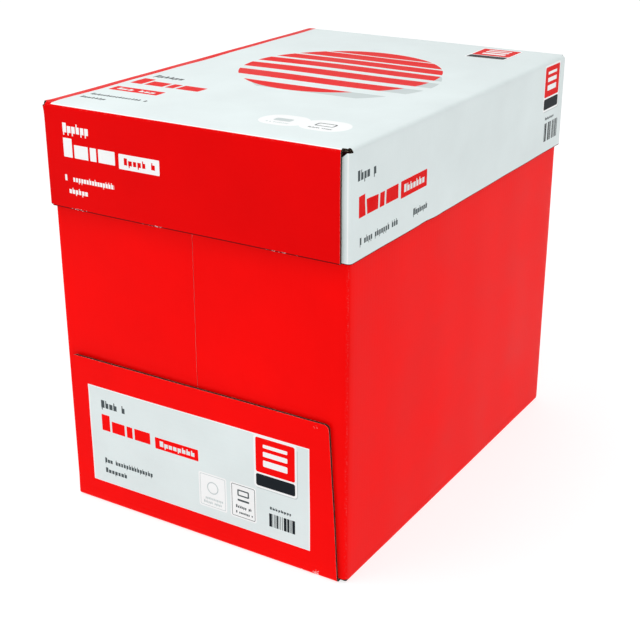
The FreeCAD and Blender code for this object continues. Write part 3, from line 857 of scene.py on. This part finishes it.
def tray_print():
    """Printed corrugated board: coated white liner, flooded with red, with a pale label on both ends."""
    material, shader, add = new_material("printed_varnished_board_red")
    s, c = sizes(), colours()
    inks = {name: getattr(c, name) for name in ("red", "paper", "white", "grey", "black", "shade")}
    blank = add("UVMap", uv_map="blank").outputs[0]
    fold = s.fold_inside + s.board
    run = TRAY_HIGH[1] - fold + fold * QUARTER
    place = add(
        "Mapping", turned(add, blank, 1),
        (LID_HIGH[0] / MM, (fold - run) / MM, 0.0), None, (-1 / MM, 1 / MM, 1 / MM),
    )
    parts = add("SeparateXYZ", blank)
    # painted shade: the tray's top corners, seen through the holes at the lid's corners, are darkened
    # towards black to stand in for the shade inside the lid
    half_run = float(TRAY_HIGH[0] + TRAY_HIGH[2] - 2 * fold + fold * QUARTER)
    corner = float(TRAY_HIGH[1] - s.glue_line - s.board - fold + 0.5 * fold * QUARTER)
    below = add("Math SUBTRACT", half_run, add("Math ABSOLUTE", parts.outputs[0]))
    beside = add("Math SUBTRACT", add("Math ABSOLUTE", parts.outputs[1]), corner)
    painted_corner_shade = add(
        "Math MULTIPLY",
        add("MapRange", below, 4.5 * MM, 8 * MM, 0.95, 0.0),
        add("MapRange", add("Math ABSOLUTE", beside), 4 * MM, 8 * MM, 1.0, 0.0),
    )
    colour = paint(add, inks["red"], place, LABEL_PRINT, inks)
    colour = add("MixRGB", painted_corner_shade, colour, inks["black"])
    finish_print(add, shader, blank, colour, inks)
    return material


def lid_print():
    """Printed corrugated board: the top and the right skirt in pale grey, the rest flooded with red."""
    material, shader, add = new_material("printed_varnished_board_pale")
    s, c = sizes(), colours()
    inks = {name: getattr(c, name) for name in ("paper", "white", "grey", "black", "shade", "rim")}
    inks["red"] = c.lid_red
    blank = add("UVMap", uv_map="blank").outputs[0]
    fold = s.fold_inside + s.board
    arc = fold * QUARTER
    half_x, half_y, top = LID_HIGH
    end_fold = half_y - fold + arc
    side_fold = half_x - fold + arc
    scale = (1 / MM, 1 / MM, 1 / MM)
    ends = add(
        "Mapping", turned(add, blank, 1),
        (half_x / MM, (top - fold + end_fold) / MM, 0.0), None, (-1 / MM, -1 / MM, 1 / MM),
    )
    tops = add("Mapping", blank, (half_x / MM, half_y / MM, 0.0), None, scale)
    skirts = add(
        "Mapping", turned(add, blank, 0),
        (half_y / MM, (top - fold + side_fold) / MM, 0.0), (0, 0, -QUARTER), scale,
    )
    parts = add("SeparateXYZ", blank)
    u, v = parts.outputs[0], parts.outputs[1]
    from_middle = add("Math ABSOLUTE", v)
    left = add("Math LESS_THAN", u, float(s.red_strip - half_x))
    on_end = add(
        "Math MULTIPLY",
        add("Math GREATER_THAN", from_middle, float(end_fold - 0.55 * arc)),
        add("Math LESS_THAN", add("Math ABSOLUTE", u), float(half_x)),
    )
    bare = add("Math COMPARE", from_middle, float(end_fold - 0.65 * arc), 0.3 * MM)
    ground = add("MixRGB", bare, inks["paper"], inks["white"])
    ground = add("MixRGB", add("Math MAXIMUM", left, on_end), ground, inks["red"])
    inks["ink"] = add("MixRGB", left, inks["grey"], inks["white"])
    inks["accent"] = add("MixRGB", left, inks["red"], inks["white"])
    inks["ground"] = ground
    colour = paint(add, ground, tops, TOP_PRINT, inks)
    # the end and skirt tables also lay painted shadow along every skirt's lower edge
    colour = paint(add, colour, ends, END_PRINT_AND_SHADOW, inks)
    colour = paint(add, colour, skirts, SKIRT_PRINT_AND_SHADOW, inks)
    finish_print(add, shader, blank, colour, inks)
    return material


def recycled_liner():
    """The board's inner side: uncoated recycled paper, matt, flecked with short fibres of 0.5 to 1.5 mm and
    clouded every 30 mm or so."""
    material, shader, add = new_material("uncoated_recycled_liner")
    c = colours()
    blank = add("UVMap", uv_map="blank").outputs[0]
    place = add("Mapping", blank, None, None, (1.0, 3.0, 1.0))
    fibre = add("TexNoise", place, inputs={"Scale": 1 / (1.5 * MM), "Detail": 4.0, "Roughness": 0.7})
    cloud = add("TexNoise", blank, inputs={"Scale": 30.0, "Detail": 2.0})
    mixed = add("Math MULTIPLY_ADD", fibre, 0.35, add("Math MULTIPLY", cloud, 0.2))
    tone = add("MapRange", mixed, 0.17, 0.38, 0.82, 1.08)
    base = add("VectorMath SCALE", c.liner[:3], inputs={"Scale": tone})
    bump = add("Bump", inputs={"Height": fibre, "Distance": 0.03 * MM, "Strength": 0.5})
    feed(shader, {"Base Color": base, "Roughness": 0.85, "Specular IOR Level": 0.3, "Normal": bump})
    return material


def cut_edge():
    """The die-cut edge of fluted board: a white liner, the waving flute in shadow, and a brown liner. The
    flutes follow the real pitch, so they show as a row of dots."""
    material, shader, add = new_material("die_cut_fluted_edge")
    s, c = sizes(), colours()
    across = add("Attribute", attribute_name="across").outputs["Fac"]
    parts = add("SeparateXYZ", add("UVMap", uv_map="blank"))
    along = add("Math ADD", parts.outputs[0], parts.outputs[1])
    wave = add("Math SINE", add("Math MULTIPLY", along, 2 * math.pi / s.flute_pitch))
    crest = add("Math MULTIPLY_ADD", wave, 0.38, 0.5)
    flute = add("Math COMPARE", across, crest, 0.05)
    white = add("Math LESS_THAN", across, 0.035)
    brown = add("Math GREATER_THAN", across, 0.97)
    # painted shade: the dark core stands for the hollows between the flutes in shadow, and the flute's crest
    # is lighter
    colour = add("MixRGB", add("Math MULTIPLY", flute, 0.4), c.core, c.liner)
    colour = add("MixRGB", brown, colour, c.liner)
    colour = add("MixRGB", white, colour, c.white)
    feed(shader, {"Base Color": colour, "Roughness": 0.9, "Specular IOR Level": 0.2})
    return material


def wrapping_paper():
    """A ream's wrapper: white paper with a thin moisture-proof coat, smooth and softly shining, with slack
    creases about 20 mm apart."""
    material, shader, add = new_material("coated_wrapping_paper")
    c = colours()
    place = add("TexCoord").outputs["Object"]
    crease = add("TexNoise", place, inputs={"Scale": 45.0, "Detail": 5.0, "Distortion": 1.2})
    fine = add("TexNoise", place, inputs={"Scale": 1 / (0.9 * MM), "Detail": 2.0})
    height = add("Math MULTIPLY_ADD", fine, 0.06, crease)
    bump = add("Bump", inputs={"Height": height, "Distance": 0.5 * MM, "Strength": 0.5})
    tone = add("MapRange", crease, 0.3, 0.7, 0.96, 1.02)
    base = add("VectorMath SCALE", c.wrapper[:3], inputs={"Scale": tone})
    feed(shader, {"Base Color": base, "Roughness": 0.42, "Normal": bump})
    return material


def hot_melt():
    """Set hot-melt glue: a squeezed thermoplastic bead, honey-coloured and smooth, with lumps of 5 to 6 mm
    where it was pressed."""
    material, shader, add = new_material("hot_melt_glue")
    c = colours()
    place = add("TexCoord").outputs["Object"]
    lump = add("TexNoise", place, inputs={"Scale": 180.0, "Detail": 2.0})
    tone = add("MapRange", lump, 0.3, 0.7, 0.85, 1.05)
    base = add("VectorMath SCALE", c.glue[:3], inputs={"Scale": tone})
    bump = add("Bump", inputs={"Height": lump, "Distance": 0.2 * MM, "Strength": 0.5})
    feed(shader, {"Base Color": base, "Roughness": 0.35, "IOR": 1.48, "Normal": bump})
    return material


SHARED = {}


def shared(make):
    """What make makes, made once and then reused."""
    if make.__name__ not in SHARED:
        SHARED[make.__name__] = make()
    return SHARED[make.__name__]


class CARTON_OT_tray(bpy.types.Operator):
    """Builds the folded tray"""

    bl_idname = "carton.tray"
    bl_label = "Tray"

    def execute(self, context):
        shared(print_shapes)
        materials = (tray_print(), shared(recycled_liner), shared(cut_edge))
        make_piece("tray_board", [build_tray()], materials, "tray", "tray")
        return {"FINISHED"}


class CARTON_OT_lid(bpy.types.Operator):
    """Builds the folded lid"""

    bl_idname = "carton.lid"
    bl_label = "Lid"

    def execute(self, context):
        shared(print_shapes)
        materials = (lid_print(), shared(recycled_liner), shared(cut_edge))
        make_piece("lid_board", [build_lid()], materials, "lid", "lid")
        return {"FINISHED"}


class CARTON_OT_reams(bpy.types.Operator):
    """Builds the wrapped reams"""

    bl_idname = "carton.reams"
    bl_label = "Reams"

    def execute(self, context):
        s = sizes()
        for node in sorted(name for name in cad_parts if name.startswith("ream_")):
            low, high = (np.array(corner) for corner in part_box(node))
            inset = np.array([0, s.paper_wrap, 0])
            block = wrapped_block(low + inset, high - inset, s.wrap_corner, 2 * s.mesh_pitch, s.wave)
            flaps = [wrap_flap(low, high, side, s) for side in (-1, 1)]
            pack = "wrapped_" + node
            make_piece(pack, [block, *flaps], [shared(wrapping_paper)], "tray", node)
        return {"FINISHED"}


class CARTON_OT_glue(bpy.types.Operator):
    """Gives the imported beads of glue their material"""

    bl_idname = "carton.glue"
    bl_label = "Glue"

    def execute(self, context):
        for name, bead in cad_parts.items():
            if name.endswith("_glue"):
                bead.data.materials.clear()
                bead.data.materials.append(shared(hot_melt))
        return {"FINISHED"}


def studio_floor():
    """A studio's translucent white floor, lit a little from below, so that it stays plain and pale. Its
    tone drifts slightly over about 300 mm."""
    material, shader, add = new_material("matt_studio_paint")
    place = add("TexCoord").outputs["Object"]
    cloud = add("TexNoise", place, inputs={"Scale": 3.0, "Detail": 2.0})
    tone = add("MapRange", cloud, 0.3, 0.7, 0.97, 1.0)
    base = add("VectorMath SCALE", (0.35, 0.35, 0.35), inputs={"Scale": tone})
    feed(shader, {"Base Color": base, "Roughness": 0.9})
    feed(shader, {"Emission Color": (1, 1, 1, 1), "Emission Strength": 0.76})
    return material


# The stage. Heights in the world's light run from 0 at the horizon to 1 straight up: the white round the
# floor ends over the first two, and the sky grows to its full strength over the second two.
HORIZON_FALL = (0.26, 0.32)
SKY_RISE = (0.3, 0.9)
SQUARE = ((-1, -1), (1, -1), (1, 1), (-1, 1))


class CARTON_OT_stage(bpy.types.Operator):
    """Makes the floor, the light and the camera"""

    bl_idname = "carton.stage"
    bl_label = "Stage"

    def execute(self, context):
        stage = context.scene.carton_stage
        mesh = bpy.data.meshes.new("floor")
        corners = [(x * stage.floor_reach, y * stage.floor_reach, 0) for x, y in SQUARE]
        mesh.from_pydata(corners, [], [(0, 1, 2, 3)])
        floor = bpy.data.objects.new("floor", mesh)
        bpy.context.collection.objects.link(floor)
        floor.data.materials.append(studio_floor())
        world = context.scene.world or bpy.data.worlds.new("studio")
        context.scene.world = world
        world.use_nodes = True
        tree = world.node_tree
        add = partial(add_node, tree)
        height = add("SeparateXYZ", add("TexCoord")).outputs[2]
        above = add("MapRange", height, *SKY_RISE, stage.sides, stage.sky)
        glow = add("Math ADD", above, add("MapRange", height, *HORIZON_FALL, 1 - stage.sides, 0.0))
        feed(tree.nodes["Background"], {"Strength": glow, "Color": (1, 1, 1, 1)})
        context.scene.view_settings.view_transform = "Standard"

        lamp = bpy.data.lights.new("key_light", "AREA")
        lamp.shape, lamp.size, lamp.energy = "DISK", stage.key_size, stage.key
        light = bpy.data.objects.new("key_light", lamp)
        bpy.context.collection.objects.link(light)
        light.location = stage.key_place
        light.rotation_euler = light.location.to_track_quat("Z", "Y").to_euler()

        camera = bpy.data.objects.new("camera", bpy.data.cameras.new("camera"))
        bpy.context.collection.objects.link(camera)
        back = np.array([
            math.sin(stage.azimuth) * math.cos(stage.elevation),
            -math.cos(stage.azimuth) * math.cos(stage.elevation),
            math.sin(stage.elevation),
        ])
        camera.location = np.array(stage.aim) + back * stage.distance
        camera.rotation_euler = (QUARTER - stage.elevation, 0.0, stage.azimuth)
        camera.data.lens = stage.lens
        context.scene.camera = camera
        return {"FINISHED"}


class CARTON_PT_panel(bpy.types.Panel):
    """Lists the carton's pieces"""

    bl_idname = "CARTON_PT_panel"
    bl_label = "Carton"
    bl_space_type = "VIEW_3D"
    bl_region_type = "UI"
    bl_category = "Carton"

    def draw(self, context):
        for operator in OPERATORS:
            self.layout.operator(operator.bl_idname)


OPERATORS = (CARTON_OT_stage, CARTON_OT_tray, CARTON_OT_lid, CARTON_OT_reams, CARTON_OT_glue)
GROUPS = (CartonSizes, CartonColours, CartonStage)


def register():
    """Registers the classes and gives the scene its groups of settings."""
    for cls in (*GROUPS, *OPERATORS, CARTON_PT_panel):
        bpy.utils.register_class(cls)
    bpy.types.Scene.carton_sizes = bpy.props.PointerProperty(type=CartonSizes)
    bpy.types.Scene.carton_colours = bpy.props.PointerProperty(type=CartonColours)
    bpy.types.Scene.carton_stage = bpy.props.PointerProperty(type=CartonStage)


def unregister():
    """Takes back what register did."""
    del bpy.types.Scene.carton_stage
    del bpy.types.Scene.carton_colours
    del bpy.types.Scene.carton_sizes
    for cls in reversed((*GROUPS, *OPERATORS, CARTON_PT_panel)):
        bpy.utils.unregister_class(cls)


def main():
    register()
    bpy.ops.carton.stage()
    bpy.ops.carton.tray()
    bpy.ops.carton.lid()
    bpy.ops.carton.reams()
    bpy.ops.carton.glue()


if __name__ == "__main__":
    main()
